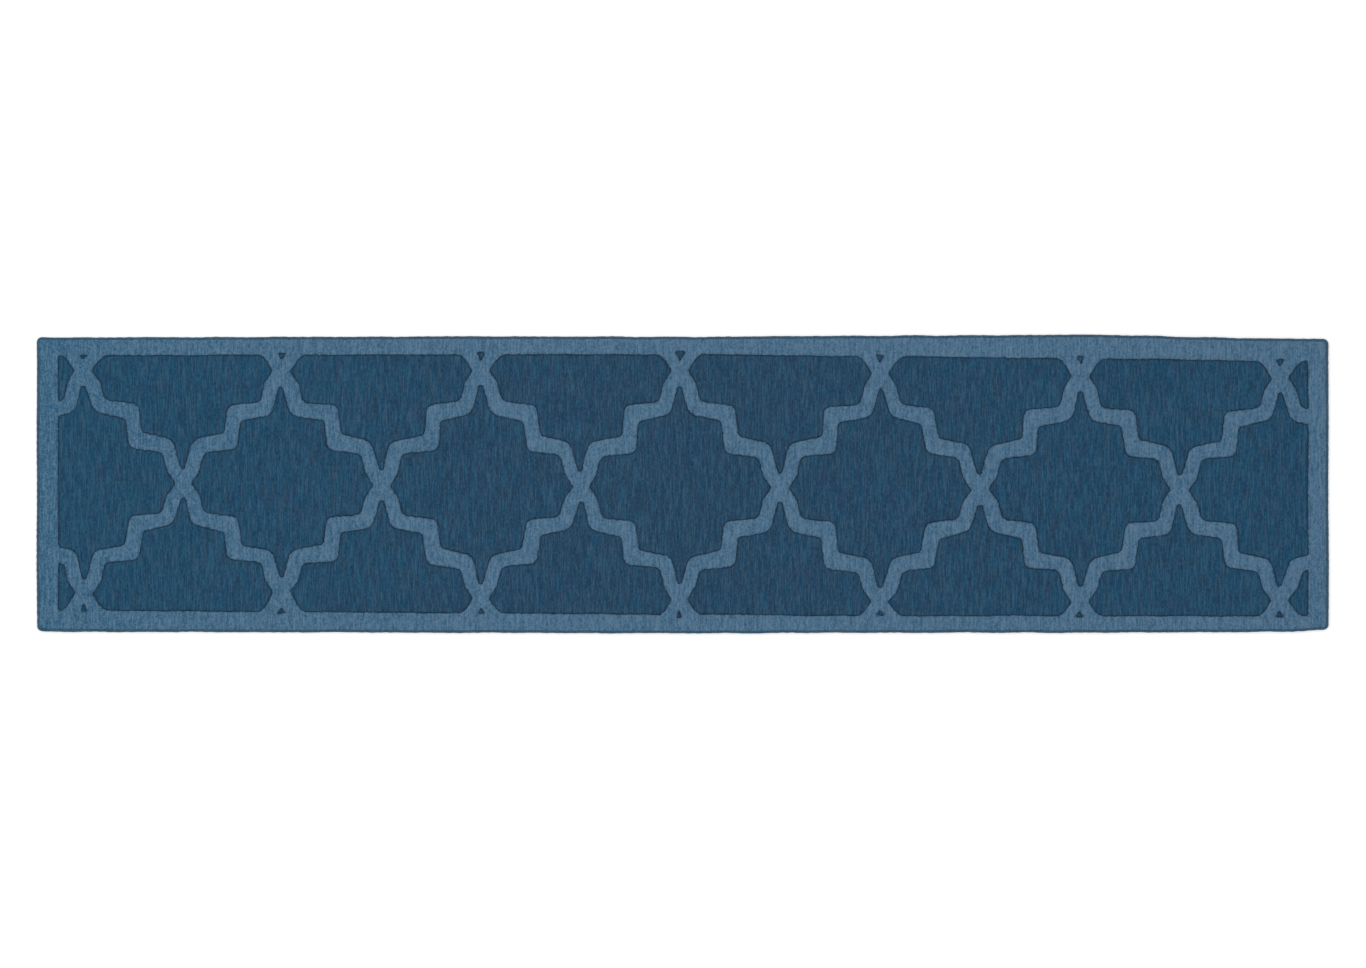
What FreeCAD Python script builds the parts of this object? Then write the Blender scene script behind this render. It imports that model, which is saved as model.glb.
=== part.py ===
import FreeCAD, Part
import Sketcher
import os
from math import acos, atan2, sin, tan

Vector = FreeCAD.Vector

# A hand-made runner rug lying flat. X runs along the rug, Y across it and Z up.
# The origin is in the middle of the underside. Back is +Y, front is -Y, left is -X, right is +X.

# ---------------------------------------------------------------- driving dimensions, millimetres

DIMENSIONS = {
    # the whole rug
    "rugLength": 3020,
    "rugWidth": 692,
    "cornerRounding": 12,
    # layers, from the floor up
    "backingThick": 0.8,
    "latexThick": 1.0,
    "groundThick": 1.6,
    "loopPile": 6.8,
    "fieldPile": 5.2,
    "hemWidth": 32,
    # serged edge; the runs round the ends reach past the corners by endWrap
    "bindingRise": 4.6,
    "bindingRounding": 2.2,
    "wrapWall": 0.9,
    "stitchWall": 0.5,
    "tuckDepth": 1.5,
    "endWrap": 20,
    "cordDiameter": 2.4,
    "cordClearance": 0.15,
    # border, and the furrow between the two heights of pile
    "sideBorder": 42.5,
    "endBorder": 47.5,
    "furrow": 1.2,
    # trellis: how many repeats lie between the outermost crossings, and where those stand
    "repeatCount": 6,
    "endMargin": 63,
    "crossInset": 35.5,
    # a quarter of one trellis cell's outline, from its upper point round to its side point
    "pointInset": 19.5,
    "pointRounding": 5.5,
    "shoulderRun": 22,
    "shoulderRise": 15.5,
    "shoulderRounding": 28,
    "noseSide": 20.5,
    "noseRise": 16,
    "noseRounding": 11,
    "heelSide": 12,
    "heelDrop": 53,
    "heelRounding": 18,
    "toeInset": 49,
    "toeFall": 8.5,
    "toeRounding": 18,
    "throatInset": 39,
    "throatRise": 29,
    "tipInset": 20,
    "tipRounding": 5,
    # eyelets between the crossings and the side borders
    "eyeletWidth": 21,
    "eyeletHeight": 17,
    "eyeletReach": 12.5,
}

doc = FreeCAD.newDocument("RunnerRug")
sheet = doc.addObject("Spreadsheet::Sheet", "Sizes")
for row, (name, value) in enumerate(DIMENSIONS.items(), start=1):
    sheet.set(f"A{row}", name)
    sheet.set(f"B{row}", str(value))
    sheet.setAlias(f"B{row}", name)
doc.recompute()

# ---------------------------------------------------------------- sizes that follow from these


def size(words):
    """Write a formula: each name in angle brackets becomes its cell of the sheet."""
    return words.replace("<", "Sizes.").replace(">", "")


LATEX_BOTTOM = size("<backingThick>")
GROUND_BOTTOM = size("(<backingThick> + <latexThick>)")
GROUND_TOP = size("(<backingThick> + <latexThick> + <groundThick>)")
BINDING_TOP = size(f"({GROUND_TOP} + <bindingRise>)")
CORD_RADIUS = size("(<cordDiameter> / 2)")
BORE_RADIUS = size("(<cordDiameter> / 2 + <cordClearance>)")
BINDING_WIDTH = size(f"(<tuckDepth> + <stitchWall> + 2 * {BORE_RADIUS} + <wrapWall>)")
CORD_INSET = size(f"(<wrapWall> + {BORE_RADIUS})")
CORD_HEIGHT = size(f"(({LATEX_BOTTOM} + {GROUND_TOP}) / 2)")
TUCKED_EDGE = size(f"({BINDING_WIDTH} - <tuckDepth>)")
HEM_INSET = size(f"({TUCKED_EDGE} + <hemWidth>)")
HALF_LENGTH = size("(<rugLength> / 2)")
HALF_WIDTH = size("(<rugWidth> / 2)")
STRAIGHT_HALF = size("(<rugLength> / 2 - <cornerRounding> - <endWrap>)")
CORD_LINE_X = f"({HALF_LENGTH} - {CORD_INSET})"
CORD_LINE_Y = f"({HALF_WIDTH} - {CORD_INSET})"
WINDOW_X = size("(<rugLength> / 2 - <endBorder>)")
WINDOW_Y = size("(<rugWidth> / 2 - <sideBorder>)")
REPEAT = size(f"(2 * ({WINDOW_X} - <endMargin>) / <repeatCount>)")
ROW_PITCH = size(f"({WINDOW_Y} - <crossInset>)")


def number(formula):
    """The value of a formula now."""
    return float(sheet.evalExpression(formula))


# ---------------------------------------------------------------- sketches


def pin(sketch, geometry, vertex, x, y):
    """Hold a point of a sketch at the formulas x and y from the sketch's origin."""
    for formula, kind, axis in ((x, "DistanceX", -2), (y, "DistanceY", -1)):
        value = number(formula)
        if abs(value) < 1e-9:
            sketch.addConstraint(Sketcher.Constraint("PointOnObject", geometry, vertex, axis))
        else:
            held = Sketcher.Constraint(kind, -1, 1, geometry, vertex, value)
            sketch.setExpression(f"Constraints[{sketch.addConstraint(held)}]", formula)


def rounded_corner(before, corner, after, radius):
    """The two tangent points and the centre of an arc that rounds a corner."""
    inward = (before - corner).normalize()
    outward = (after - corner).normalize()
    half_angle = acos(inward.dot(outward)) / 2
    start = corner + inward * (radius / tan(half_angle))
    end = corner + outward * (radius / tan(half_angle))
    centre = corner + (inward + outward).normalize() * (radius / sin(half_angle))
    return start, end, centre


def add_corner_arc(sketch, before, after, ends, corner):
    """Round the corner between two lines, held by the corner's own point and its radius."""
    start, end, centre = ends
    first = atan2(start.y - centre.y, start.x - centre.x)
    last = atan2(end.y - centre.y, end.x - centre.x)
    turns_left = sin(last - first) > 0
    if not turns_left:
        first, last = last, first
    radius = number(corner[2])
    circle = Part.Circle(centre, Vector(0, 0, 1), radius)
    arc = sketch.addGeometry(Part.ArcOfCircle(circle, first, last))
    arc_start, arc_end = (1, 2) if turns_left else (2, 1)
    sketch.addConstraint(Sketcher.Constraint("Tangent", before, 2, arc, arc_start))
    sketch.addConstraint(Sketcher.Constraint("Tangent", after, 1, arc, arc_end))
    rounding = sketch.addConstraint(Sketcher.Constraint("Radius", arc, radius))
    sketch.setExpression(f"Constraints[{rounding}]", corner[2])
    spot = Vector(number(corner[0]), number(corner[1]), 0)
    mark = sketch.addGeometry(Part.Point(spot), True)
    sketch.addConstraint(Sketcher.Constraint("PointOnObject", mark, 1, before))
    sketch.addConstraint(Sketcher.Constraint("PointOnObject", mark, 1, after))
    pin(sketch, mark, 1, corner[0], corner[1])


def draw_lines(sketch, corners, closed=True):
    """Draw lines through corners, each (x, y) or (x, y, rounding), all formulas."""
    points = [Vector(number(corner[0]), number(corner[1]), 0) for corner in corners]
    count = len(corners)
    rounded = {}
    for i, corner in enumerate(corners):
        if len(corner) == 3:
            after = points[(i + 1) % count]
            rounded[i] = rounded_corner(points[i - 1], points[i], after, number(corner[2]))
    lines = count if closed else count - 1
    for i in range(lines):
        j = (i + 1) % count
        start = rounded[i][1] if i in rounded else points[i]
        end = rounded[j][0] if j in rounded else points[j]
        sketch.addGeometry(Part.LineSegment(start, end))
    for i, corner in enumerate(corners):
        before, after = (i - 1) % count, i
        if i in rounded:
            add_corner_arc(sketch, before, after, rounded[i], corner)
        elif i == lines:
            pin(sketch, before, 2, corner[0], corner[1])
        else:
            if closed or i > 0:
                sketch.addConstraint(Sketcher.Constraint("Coincident", before, 2, after, 1))
            pin(sketch, after, 1, corner[0], corner[1])


def draw_circle(sketch, x, y, radius):
    """Draw a circle, its centre and radius all formulas."""
    centre = Vector(number(x), number(y), 0)
    circle = sketch.addGeometry(Part.Circle(centre, Vector(0, 0, 1), number(radius)))
    pin(sketch, circle, 3, x, y)
    held = sketch.addConstraint(Sketcher.Constraint("Radius", circle, number(radius)))
    sketch.setExpression(f"Constraints[{held}]", radius)


def body_sketch(body, plane, role, distance=None):
    """An empty sketch on one of a body's own origin planes, or at a distance above it."""
    sketch = body.newObject("Sketcher::SketchObject", f"{body.Name}_{role}")
    for feature in body.Origin.OriginFeatures:
        if feature.Role == plane:
            sketch.AttachmentSupport = [(feature, "")]
    sketch.MapMode = "FlatFace"
    if distance:
        sketch.setExpression("AttachmentOffset.Base.z", distance)
    return sketch


# ---------------------------------------------------------------- solids

finished = []


def named(kind, name):
    item = doc.addObject(kind, name)
    item.Label = name
    return item


def place(item, **offsets):
    """Bind an object's place along the named axes to formulas."""
    for axis, formula in offsets.items():
        item.setExpression(f"Placement.Base.{axis}", formula)


def pad(body, sketch, length, both_ways=False):
    feature = body.newObject("PartDesign::Pad", f"{body.Name}_pad")
    feature.Profile = sketch
    feature.setExpression("Length", length)
    feature.Midplane = both_ways


def block(name, x, y, z, length, width, height):
    """A box from its lowest corner, every size a formula."""
    box = named("Part::Box", name)
    box.setExpression("Length", length)
    box.setExpression("Width", width)
    box.setExpression("Height", height)
    place(box, x=x, y=y, z=z)
    return box


def combined(kind, name, base, tool):
    """Cut a tool from a base, or keep what the two share."""
    result = named(kind, name)
    result.Base = base
    result.Tool = tool
    return result


def grouped(name, members):
    compound = named("Part::Compound", name)
    compound.Links = members
    return compound


def extruded(name, outline, height, **offsets):
    """A flat outline stood up to a height and placed."""
    solid = named("Part::Extrusion", name)
    solid.Base = outline
    solid.DirMode = "Custom"
    solid.Dir = Vector(0, 0, 1)
    solid.Solid = True
    solid.setExpression("LengthFwd", height)
    place(solid, **offsets)
    return solid


def rectangle(half_x, half_y, rounding=None):
    """Corners of a rectangle about the origin, anticlockwise, square or rounded."""
    extra = (rounding,) if rounding else ()
    signs = ((1, 1), (-1, 1), (-1, -1), (1, -1))
    return [(f"{a} * {half_x}", f"{b} * {half_y}") + extra for a, b in signs]


def layer(name, inset, bottom, thickness, rounded=True):
    """One layer of the rug: its outline drawn in by inset on every side."""
    body = named("PartDesign::Body", name)
    rounding = size(f"(<cornerRounding> - {inset})") if rounded else None
    sketch = body_sketch(body, "XY_Plane", "outline")
    half_x = f"({HALF_LENGTH} - {inset})"
    half_y = f"({HALF_WIDTH} - {inset})"
    draw_lines(sketch, rectangle(half_x, half_y, rounding))
    pad(body, sketch, thickness)
    place(body, z=bottom)
    return body


def rim_strips(prefix, whole, inner_x, inner_y, bottom, thickness):
    """Four strips of a layer outside an inner rectangle: the left and right ones lie between."""
    deep_x = f"({HALF_LENGTH} - {inner_x})"
    deep_y = f"({HALF_WIDTH} - {inner_y})"
    boxes = {
        "back": (f"-{HALF_LENGTH}", inner_y, f"2 * {HALF_LENGTH}", deep_y),
        "front": (f"-{HALF_LENGTH}", f"-{HALF_WIDTH}", f"2 * {HALF_LENGTH}", deep_y),
        "left": (f"-{HALF_LENGTH}", f"-{inner_y}", deep_x, f"2 * {inner_y}"),
        "right": (inner_x, f"-{inner_y}", deep_x, f"2 * {inner_y}"),
    }
    strips = {}
    for side, (x, y, length, width) in boxes.items():
        blank = block(f"{prefix}_{side}_blank", x, y, bottom, length, width, thickness)
        strips[side] = combined("Part::Common", f"{prefix}_{side}", blank, whole)
    return strips


# ---------------------------------------------------------------- cloth layers and hems

finished.append(layer("backing_cloth", BINDING_WIDTH, "0", LATEX_BOTTOM))
finished.append(layer("ground_weave", TUCKED_EDGE, GROUND_BOTTOM, size("<groundThick>")))

# the ground cloth's edges are folded under, and the latex fills the middle between them
finished.append(layer("latex_coat", HEM_INSET, LATEX_BOTTOM, size("<latexThick>"), rounded=False))
hem_layer = layer("hem_layer", TUCKED_EDGE, LATEX_BOTTOM, size("<latexThick>"))
hem_inner = (f"({HALF_LENGTH} - {HEM_INSET})", f"({HALF_WIDTH} - {HEM_INSET})")
hems = rim_strips("hem", hem_layer, *hem_inner, LATEX_BOTTOM, size("<latexThick>"))
finished.extend(hems.values())

# ---------------------------------------------------------------- serged edge and its cord


def binding_section(sketch):
    """The back binding cut across: a slot takes the cloth's edge and a bore takes the cord."""
    inner = f"({HALF_WIDTH} - {BINDING_WIDTH})"
    tucked = f"({HALF_WIDTH} - {TUCKED_EDGE})"
    rounding = size("<bindingRounding>")
    draw_lines(sketch, [
        (inner, "0"), (HALF_WIDTH, "0", rounding), (HALF_WIDTH, BINDING_TOP, rounding),
        (inner, BINDING_TOP), (inner, GROUND_TOP), (tucked, GROUND_TOP),
        (tucked, LATEX_BOTTOM), (inner, LATEX_BOTTOM),
    ])
    draw_circle(sketch, CORD_LINE_Y, CORD_HEIGHT, BORE_RADIUS)


def cord_section(sketch):
    draw_circle(sketch, CORD_LINE_Y, CORD_HEIGHT, CORD_RADIUS)


def side_run(name, section, turn):
    """A straight run along the back edge, turned about Z for the front one."""
    body = named("PartDesign::Body", name)
    sketch = body_sketch(body, "YZ_Plane", "section")
    section(sketch)
    pad(body, sketch, f"2 * {STRAIGHT_HALF}", both_ways=True)
    body.Placement = FreeCAD.Placement(Vector(0, 0, 0), FreeCAD.Rotation(Vector(0, 0, 1), turn))
    finished.append(body)


def end_run(name, section, turn):
    """A run round the right end and both its corners, turned about Z for the left one."""
    body = named("PartDesign::Body", name)
    rounding = size(f"(<cornerRounding> - {CORD_INSET})")
    path = body_sketch(body, "XY_Plane", "path", CORD_HEIGHT)
    draw_lines(path, [
        (STRAIGHT_HALF, CORD_LINE_Y), (CORD_LINE_X, CORD_LINE_Y, rounding),
        (CORD_LINE_X, f"-1 * {CORD_LINE_Y}", rounding), (STRAIGHT_HALF, f"-1 * {CORD_LINE_Y}"),
    ], closed=False)
    sketch = body_sketch(body, "YZ_Plane", "section", STRAIGHT_HALF)
    section(sketch)
    pipe = body.newObject("PartDesign::AdditivePipe", f"{name}_pipe")
    pipe.Profile = sketch
    pipe.Spine = path
    body.Placement = FreeCAD.Placement(Vector(0, 0, 0), FreeCAD.Rotation(Vector(0, 0, 1), turn))
    finished.append(body)


HALF_TURN = 180
for part_name, section in (("edge_binding", binding_section), ("edge_cord", cord_section)):
    side_run(f"{part_name}_back", section, 0)
    side_run(f"{part_name}_front", section, HALF_TURN)
    end_run(f"{part_name}_right", section, 0)
    end_run(f"{part_name}_left", section, HALF_TURN)

# ---------------------------------------------------------------- outlines of cells and eyelets


def cell_corners():
    """The stepped ogee of one cell, anticlockwise from its right point."""
    nose_y = size(f"({ROW_PITCH} / 2 + <noseRise>)")
    heel_y = size(f"({ROW_PITCH} / 2 - <heelDrop>)")
    shoulder = (size("<shoulderRun>"), size(f"({nose_y} + <shoulderRise>)"),
                size("<shoulderRounding>"))
    nose = (size(f"({REPEAT} / 4 - <noseSide>)"), nose_y, size("<noseRounding>"))
    heel = (size(f"({REPEAT} / 4 - <heelSide>)"), heel_y, size("<heelRounding>"))
    toe = (size(f"({REPEAT} / 2 - <toeInset>)"), size(f"({heel_y} - <toeFall>)"),
           size("<toeRounding>"))
    throat = (size(f"({REPEAT} / 2 - <throatInset>)"), size("<throatRise>"))
    quarter = [throat, toe, heel, nose, shoulder]
    tip_x = size(f"({REPEAT} / 2 - <tipInset>)")
    tip_rounding = size("<tipRounding>")
    point_y = size(f"({ROW_PITCH} - <pointInset>)")
    point_rounding = size("<pointRounding>")

    def turned(corners, a, b):
        return [(f"{a} * {c[0]}", f"{b} * {c[1]}") + c[2:] for c in corners]

    back = quarter[::-1]
    return ([(tip_x, "0", tip_rounding)] + turned(quarter, 1, 1)
            + [("0", point_y, point_rounding)] + turned(back, -1, 1)
            + [(f"-1 * {tip_x}", "0", tip_rounding)] + turned(quarter, -1, -1)
            + [("0", f"-1 * {point_y}", point_rounding)] + turned(back, 1, -1))


def drawn_in(name, outline, inset):
    """An outline moved inwards by a distance."""
    moved = named("Part::Offset2D", name)
    moved.Source = outline
    moved.setExpression("Value", f"-1 * {inset}")
    moved.Join = "Intersection"
    return moved


FURROW = size("<furrow>")
cell_outline = named("Sketcher::SketchObject", "cell_outline")
draw_lines(cell_outline, cell_corners())
panel_outline = drawn_in("panel_outline", cell_outline, FURROW)

# an eyelet points at its crossing, from an origin at that crossing
eyelet_outlines = {}
eyelet_panels = {}
for side, sign in (("back", 1), ("front", -1)):
    point = size(f"({WINDOW_Y} - <eyeletReach> - {ROW_PITCH})")
    base = size(f"({point} + <eyeletHeight>)")
    half = size("<eyeletWidth> / 2")
    sketch = named("Sketcher::SketchObject", f"eyelet_outline_{side}")
    draw_lines(sketch, [("0", f"{sign} * {point}"), (half, f"{sign} * {base}"),
                        (f"-1 * {half}", f"{sign} * {base}")])
    eyelet_outlines[side] = sketch
    eyelet_panels[side] = drawn_in(f"eyelet_panel_{side}", sketch, FURROW)

doc.recompute()

# ---------------------------------------------------------------- where the cells and eyelets lie

repeats = int(number(size("<repeatCount>")))
crossing_steps = [step - repeats / 2 for step in range(repeats + 1)]
between_steps = [step + 0.5 for step in crossing_steps[:-1]]
corner_steps = [crossing_steps[0] - 0.5, crossing_steps[-1] + 0.5]
ROWS = {"back": 1, "front": -1}


def along(step):
    return f"{step} * {REPEAT}"


# the tools that open the loop pile: every cell and every eyelet, as tall as the loops
LOOP_PILE = size("<loopPile>")
openings = []
for step in crossing_steps:
    openings.append((step, extruded("opening", cell_outline, LOOP_PILE,
                                    x=along(step), z=GROUND_TOP)))
eyelet_openings = {"back": [], "front": []}
for side, sign in ROWS.items():
    row_y = f"{sign} * {ROW_PITCH}"
    for step in between_steps + corner_steps:
        openings.append((step, extruded("opening", cell_outline, LOOP_PILE,
                                        x=along(step), y=row_y, z=GROUND_TOP)))
    for step in crossing_steps:
        tool = extruded("opening", eyelet_outlines[side], LOOP_PILE,
                        x=along(step), y=row_y, z=GROUND_TOP)
        openings.append((step, tool))
        eyelet_openings[side].append(tool)

# ---------------------------------------------------------------- loop pile: border and trellis

loop_layer = layer("loop_layer", BINDING_WIDTH, GROUND_TOP, LOOP_PILE)
border_blanks = rim_strips("border_blank", loop_layer, WINDOW_X, WINDOW_Y, GROUND_TOP, LOOP_PILE)
for side, blank in border_blanks.items():
    if side in ROWS:
        tools = grouped(f"border_{side}_openings", eyelet_openings[side])
        finished.append(combined("Part::Cut", f"border_{side}", blank, tools))
    else:
        blank.Label = f"border_{side}"
        finished.append(blank)


def trellis_piece(name, start, length, first_step, last_step):
    """The bands of the trellis over one stretch of the window's length."""
    blank = block(f"{name}_blank", start, f"-{WINDOW_Y}", GROUND_TOP,
                  length, f"2 * {WINDOW_Y}", LOOP_PILE)
    near = [tool for step, tool in openings if first_step <= step <= last_step]
    tools = grouped(f"{name}_openings", near)
    finished.append(combined("Part::Cut", name, blank, tools))


for count, step in enumerate(crossing_steps[:-1], start=1):
    trellis_piece(f"trellis_{count}", along(step), REPEAT, step, step + 1)
END_MARGIN = size("<endMargin>")
trellis_piece("trellis_end_left", f"-{WINDOW_X}", END_MARGIN, corner_steps[0], crossing_steps[0])
trellis_piece("trellis_end_right", along(crossing_steps[-1]), END_MARGIN,
              crossing_steps[-1], corner_steps[1])

# ---------------------------------------------------------------- cut pile: cells and eyelets

FIELD_PILE = size("<fieldPile>")
window = block("field_window", f"-1 * ({WINDOW_X} - {FURROW})", f"-1 * ({WINDOW_Y} - {FURROW})",
               GROUND_TOP, f"2 * ({WINDOW_X} - {FURROW})", f"2 * ({WINDOW_Y} - {FURROW})",
               FIELD_PILE)


def field_panel(name, whole, **offsets):
    """One area of cut pile, trimmed by the border's furrow unless it stands whole inside."""
    if whole:
        finished.append(extruded(name, panel_outline, FIELD_PILE, z=GROUND_TOP, **offsets))
        return
    blank = extruded(f"{name}_blank", panel_outline, FIELD_PILE, z=GROUND_TOP, **offsets)
    finished.append(combined("Part::Common", name, blank, window))


for count, step in enumerate(crossing_steps, start=1):
    field_panel(f"field_cell_{count}", step in crossing_steps[1:-1], x=along(step))
for side, sign in ROWS.items():
    row_y = f"{sign} * {ROW_PITCH}"
    for count, step in enumerate(between_steps, start=1):
        field_panel(f"field_half_{side}_{count}", False, x=along(step), y=row_y)
    for end, step in zip(("left", "right"), corner_steps):
        field_panel(f"field_corner_{side}_{end}", False, x=along(step), y=row_y)
    eyelets = [extruded("eyelet", eyelet_panels[side], FIELD_PILE,
                        x=along(step), y=row_y, z=GROUND_TOP) for step in crossing_steps]
    finished.append(grouped(f"eyelets_{side}", eyelets))

# ---------------------------------------------------------------- check and write

doc.recompute()
for item in doc.Objects:
    if "Invalid" in item.State or "Error" in item.State:
        raise RuntimeError(f"{item.Label} did not recompute: {item.State}")
for item in finished:
    if item.Shape.isNull() or not item.Shape.isValid() or not item.Shape.Solids:
        raise RuntimeError(f"{item.Label} is not a sound solid")

os.makedirs("parts", exist_ok=True)
for item in finished:
    item.Shape.exportStep(f"parts/{item.Label}.step")
    box = item.Shape.BoundBox
    print(f"{item.Label:26s} {len(item.Shape.Solids)} solids  {item.Shape.Volume / 1000:10.2f} cm3  "
          f"x {box.XMin:8.1f} {box.XMax:8.1f}  y {box.YMin:7.1f} {box.YMax:7.1f}  "
          f"z {box.ZMin:5.2f} {box.ZMax:5.2f}")
print(len(finished), "nodes written")
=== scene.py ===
import math

import bpy
import numpy as np
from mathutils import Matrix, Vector
from mathutils.geometry import tessellate_polygon


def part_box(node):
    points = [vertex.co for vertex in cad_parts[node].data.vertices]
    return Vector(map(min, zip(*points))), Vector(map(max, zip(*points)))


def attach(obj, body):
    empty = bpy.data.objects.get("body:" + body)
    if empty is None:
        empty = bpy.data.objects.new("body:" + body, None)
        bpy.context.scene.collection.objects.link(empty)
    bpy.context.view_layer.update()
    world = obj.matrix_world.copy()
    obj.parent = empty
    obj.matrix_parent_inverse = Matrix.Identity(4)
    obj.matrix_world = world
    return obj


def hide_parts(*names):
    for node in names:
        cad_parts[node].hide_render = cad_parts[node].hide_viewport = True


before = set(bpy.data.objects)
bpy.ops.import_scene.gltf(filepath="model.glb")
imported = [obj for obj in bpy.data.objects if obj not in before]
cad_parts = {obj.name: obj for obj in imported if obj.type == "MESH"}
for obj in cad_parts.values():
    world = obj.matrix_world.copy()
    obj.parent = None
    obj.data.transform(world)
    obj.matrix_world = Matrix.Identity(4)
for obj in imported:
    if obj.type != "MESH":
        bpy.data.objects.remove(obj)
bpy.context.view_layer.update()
mm = 0.001


def boxOf(node):
    low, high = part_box(node)
    return np.array(low), np.array(high)


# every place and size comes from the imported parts
cellLow, cellHigh = boxOf("field_cell_4")
nextLow = boxOf("field_cell_5")[0]
halfLow, halfHigh = boxOf("field_half_back_3")
borderLow, borderHigh = boxOf("border_back")
endLow = boxOf("border_right")[0]
bindingHigh = boxOf("edge_binding_right")[1]

repeat = float(nextLow[0] - cellLow[0])
rowPitch = float(halfLow[1] + cellHigh[1])
windowX, windowY = float(endLow[0]), float(borderLow[1])
pileX, pileY = float(borderHigh[0]), float(borderHigh[1])
rugX, rugY = float(bindingHigh[0]), float(bindingHigh[1])
furrow = float(windowY - halfHigh[1])
groundTop, fieldTop, loopTop = float(borderLow[2]), float(cellHigh[2]), float(borderHigh[2])
crossings = int(windowX // repeat)  # on each side of the middle one
moduleCount = 2 * crossings
print(f"frame: repeat {repeat:.4f} m, rows {rowPitch:.4f} m apart")


# camera, light and floor

studio = {
    "viewWidth": 3.193, "cameraX": 0.0007, "cameraY": 0.0019, "cameraHeight": 3.0,
    "worldLight": 0.86, "keyPower": 26.0, "keySize": 4.0, "keyPlace": (-1.6, 1.4, 3.4),
    "floorSize": 40.0, "floorGap": 0.0004, "floorColour": (0.88, 0.88, 0.88, 1.0), "floorGlow": 0.3,
    "floorRoughness": 0.9, "white": (1.0, 1.0, 1.0, 1.0),
}


def makeStudio(look):
    scene = bpy.context.scene
    scene.view_settings.view_transform = "Standard"
    world = bpy.data.worlds.new("softStudio")
    world.use_nodes = True
    background = world.node_tree.nodes["Background"]
    background.inputs["Color"].default_value = look["white"]
    background.inputs["Strength"].default_value = look["worldLight"]
    scene.world = world

    camera = bpy.data.objects.new("camera", bpy.data.cameras.new("camera"))
    camera.data.type = "ORTHO"
    camera.data.ortho_scale = look["viewWidth"]
    camera.location = (look["cameraX"], look["cameraY"], look["cameraHeight"])
    scene.collection.objects.link(camera)
    scene.camera = camera

    key = bpy.data.objects.new("softKey", bpy.data.lights.new("softKey", "AREA"))
    key.data.size = look["keySize"]
    key.data.energy = look["keyPower"]
    key.location = look["keyPlace"]
    key.rotation_euler = (-key.location).to_track_quat("-Z", "Y").to_euler()
    scene.collection.objects.link(key)

    half = look["floorSize"] / 2
    ground = -look["floorGap"]
    signs = ((-1, -1), (1, -1), (1, 1), (-1, 1))
    corners = [(a * half, b * half, ground) for a, b in signs]
    sheet = bpy.data.meshes.new("studioFloor")
    sheet.from_pydata(corners, [], [(0, 1, 2, 3)])
    floor = bpy.data.objects.new("studioFloor", sheet)
    scene.collection.objects.link(floor)
    paint = bpy.data.materials.new("paleFloor")
    paint.use_nodes = True
    shader = paint.node_tree.nodes["Principled BSDF"]
    shader.inputs["Base Color"].default_value = look["floorColour"]
    shader.inputs["Roughness"].default_value = look["floorRoughness"]
    shader.inputs["Emission Color"].default_value = look["white"]
    shader.inputs["Emission Strength"].default_value = look["floorGlow"]
    sheet.materials.append(paint)


makeStudio(studio)
print("studio: camera, key light and floor")


# shader groups and materials


def addNode(tree, kind, values=None, **settings):
    made = tree.nodes.new(kind)
    for key, value in settings.items():
        setattr(made, key, value)
    for key, value in (values or {}).items():
        if isinstance(value, bpy.types.NodeSocket):
            tree.links.new(value, made.inputs[key])
        else:
            made.inputs[key].default_value = value
    return made


def maths(tree, operation, first, second=0.0, clamp=False):
    made = addNode(tree, "ShaderNodeMath", {0: first, 1: second}, operation=operation, use_clamp=clamp)
    return made.outputs[0]


def rescale(tree, value, low, high, newLow=0.0, newHigh=1.0):
    values = {"Value": value, "From Min": low, "From Max": high, "To Min": newLow, "To Max": newHigh}
    return addNode(tree, "ShaderNodeMapRange", values).outputs["Result"]


def mixColour(tree, factor, first, second, mode="MIX"):
    # the colour sockets of a mix node come after its number and vector ones
    return addNode(tree, "ShaderNodeMix", {0: factor, 6: first, 7: second},
                   data_type="RGBA", blend_type=mode).outputs[2]


def newGroup(name, inputs, outputs):
    group = bpy.data.node_groups.new(name, "ShaderNodeTree")
    for label, value in inputs.items():
        group.interface.new_socket(label, in_out="INPUT", socket_type="NodeSocketFloat").default_value = value
    for label in outputs:
        group.interface.new_socket(label, in_out="OUTPUT", socket_type="NodeSocketFloat")
    return group, group.nodes.new("NodeGroupInput").outputs, group.nodes.new("NodeGroupOutput")


noiseShape = {
    "streakLow": 0.3, "streakHigh": 0.7,
    "driftScale": 0.35, "driftReach": 4.0, "fibreScale": 3.0, "tuftEdge": 0.4,
    "crownShare": 0.8, "fibreShare": 0.25, "shadeShare": 0.55, "paintedShadeShare": 0.45,
    "heightLow": 0.2, "heightHigh": 0.95, "furrowScale": 45.0, "furrowFaint": 0.3, "furrowFull": 0.65,
}


def makeStreaks():
    # soft noise as dye streaks: Width along the rug and Length across it, in metres
    group, given, result = newGroup("dyeStreaks", {"Width": 0.004, "Length": 0.06, "Detail": 2.0}, ["Streak"])
    place = addNode(group, "ShaderNodeTexCoord").outputs["Object"]
    one = maths(group, "DIVIDE", 1.0, given["Width"])
    two = maths(group, "DIVIDE", 1.0, given["Length"])
    stretch = addNode(group, "ShaderNodeCombineXYZ", {"X": one, "Y": two, "Z": two}).outputs[0]
    drawn = addNode(group, "ShaderNodeVectorMath", {0: place, 1: stretch}, operation="MULTIPLY").outputs[0]
    noise = addNode(group, "ShaderNodeTexNoise", {"Vector": drawn, "Scale": 1.0, "Detail": given["Detail"]})
    streak = rescale(group, noise.outputs["Fac"], noiseShape["streakLow"], noiseShape["streakHigh"])
    group.links.new(streak, result.inputs["Streak"])
    return group


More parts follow.
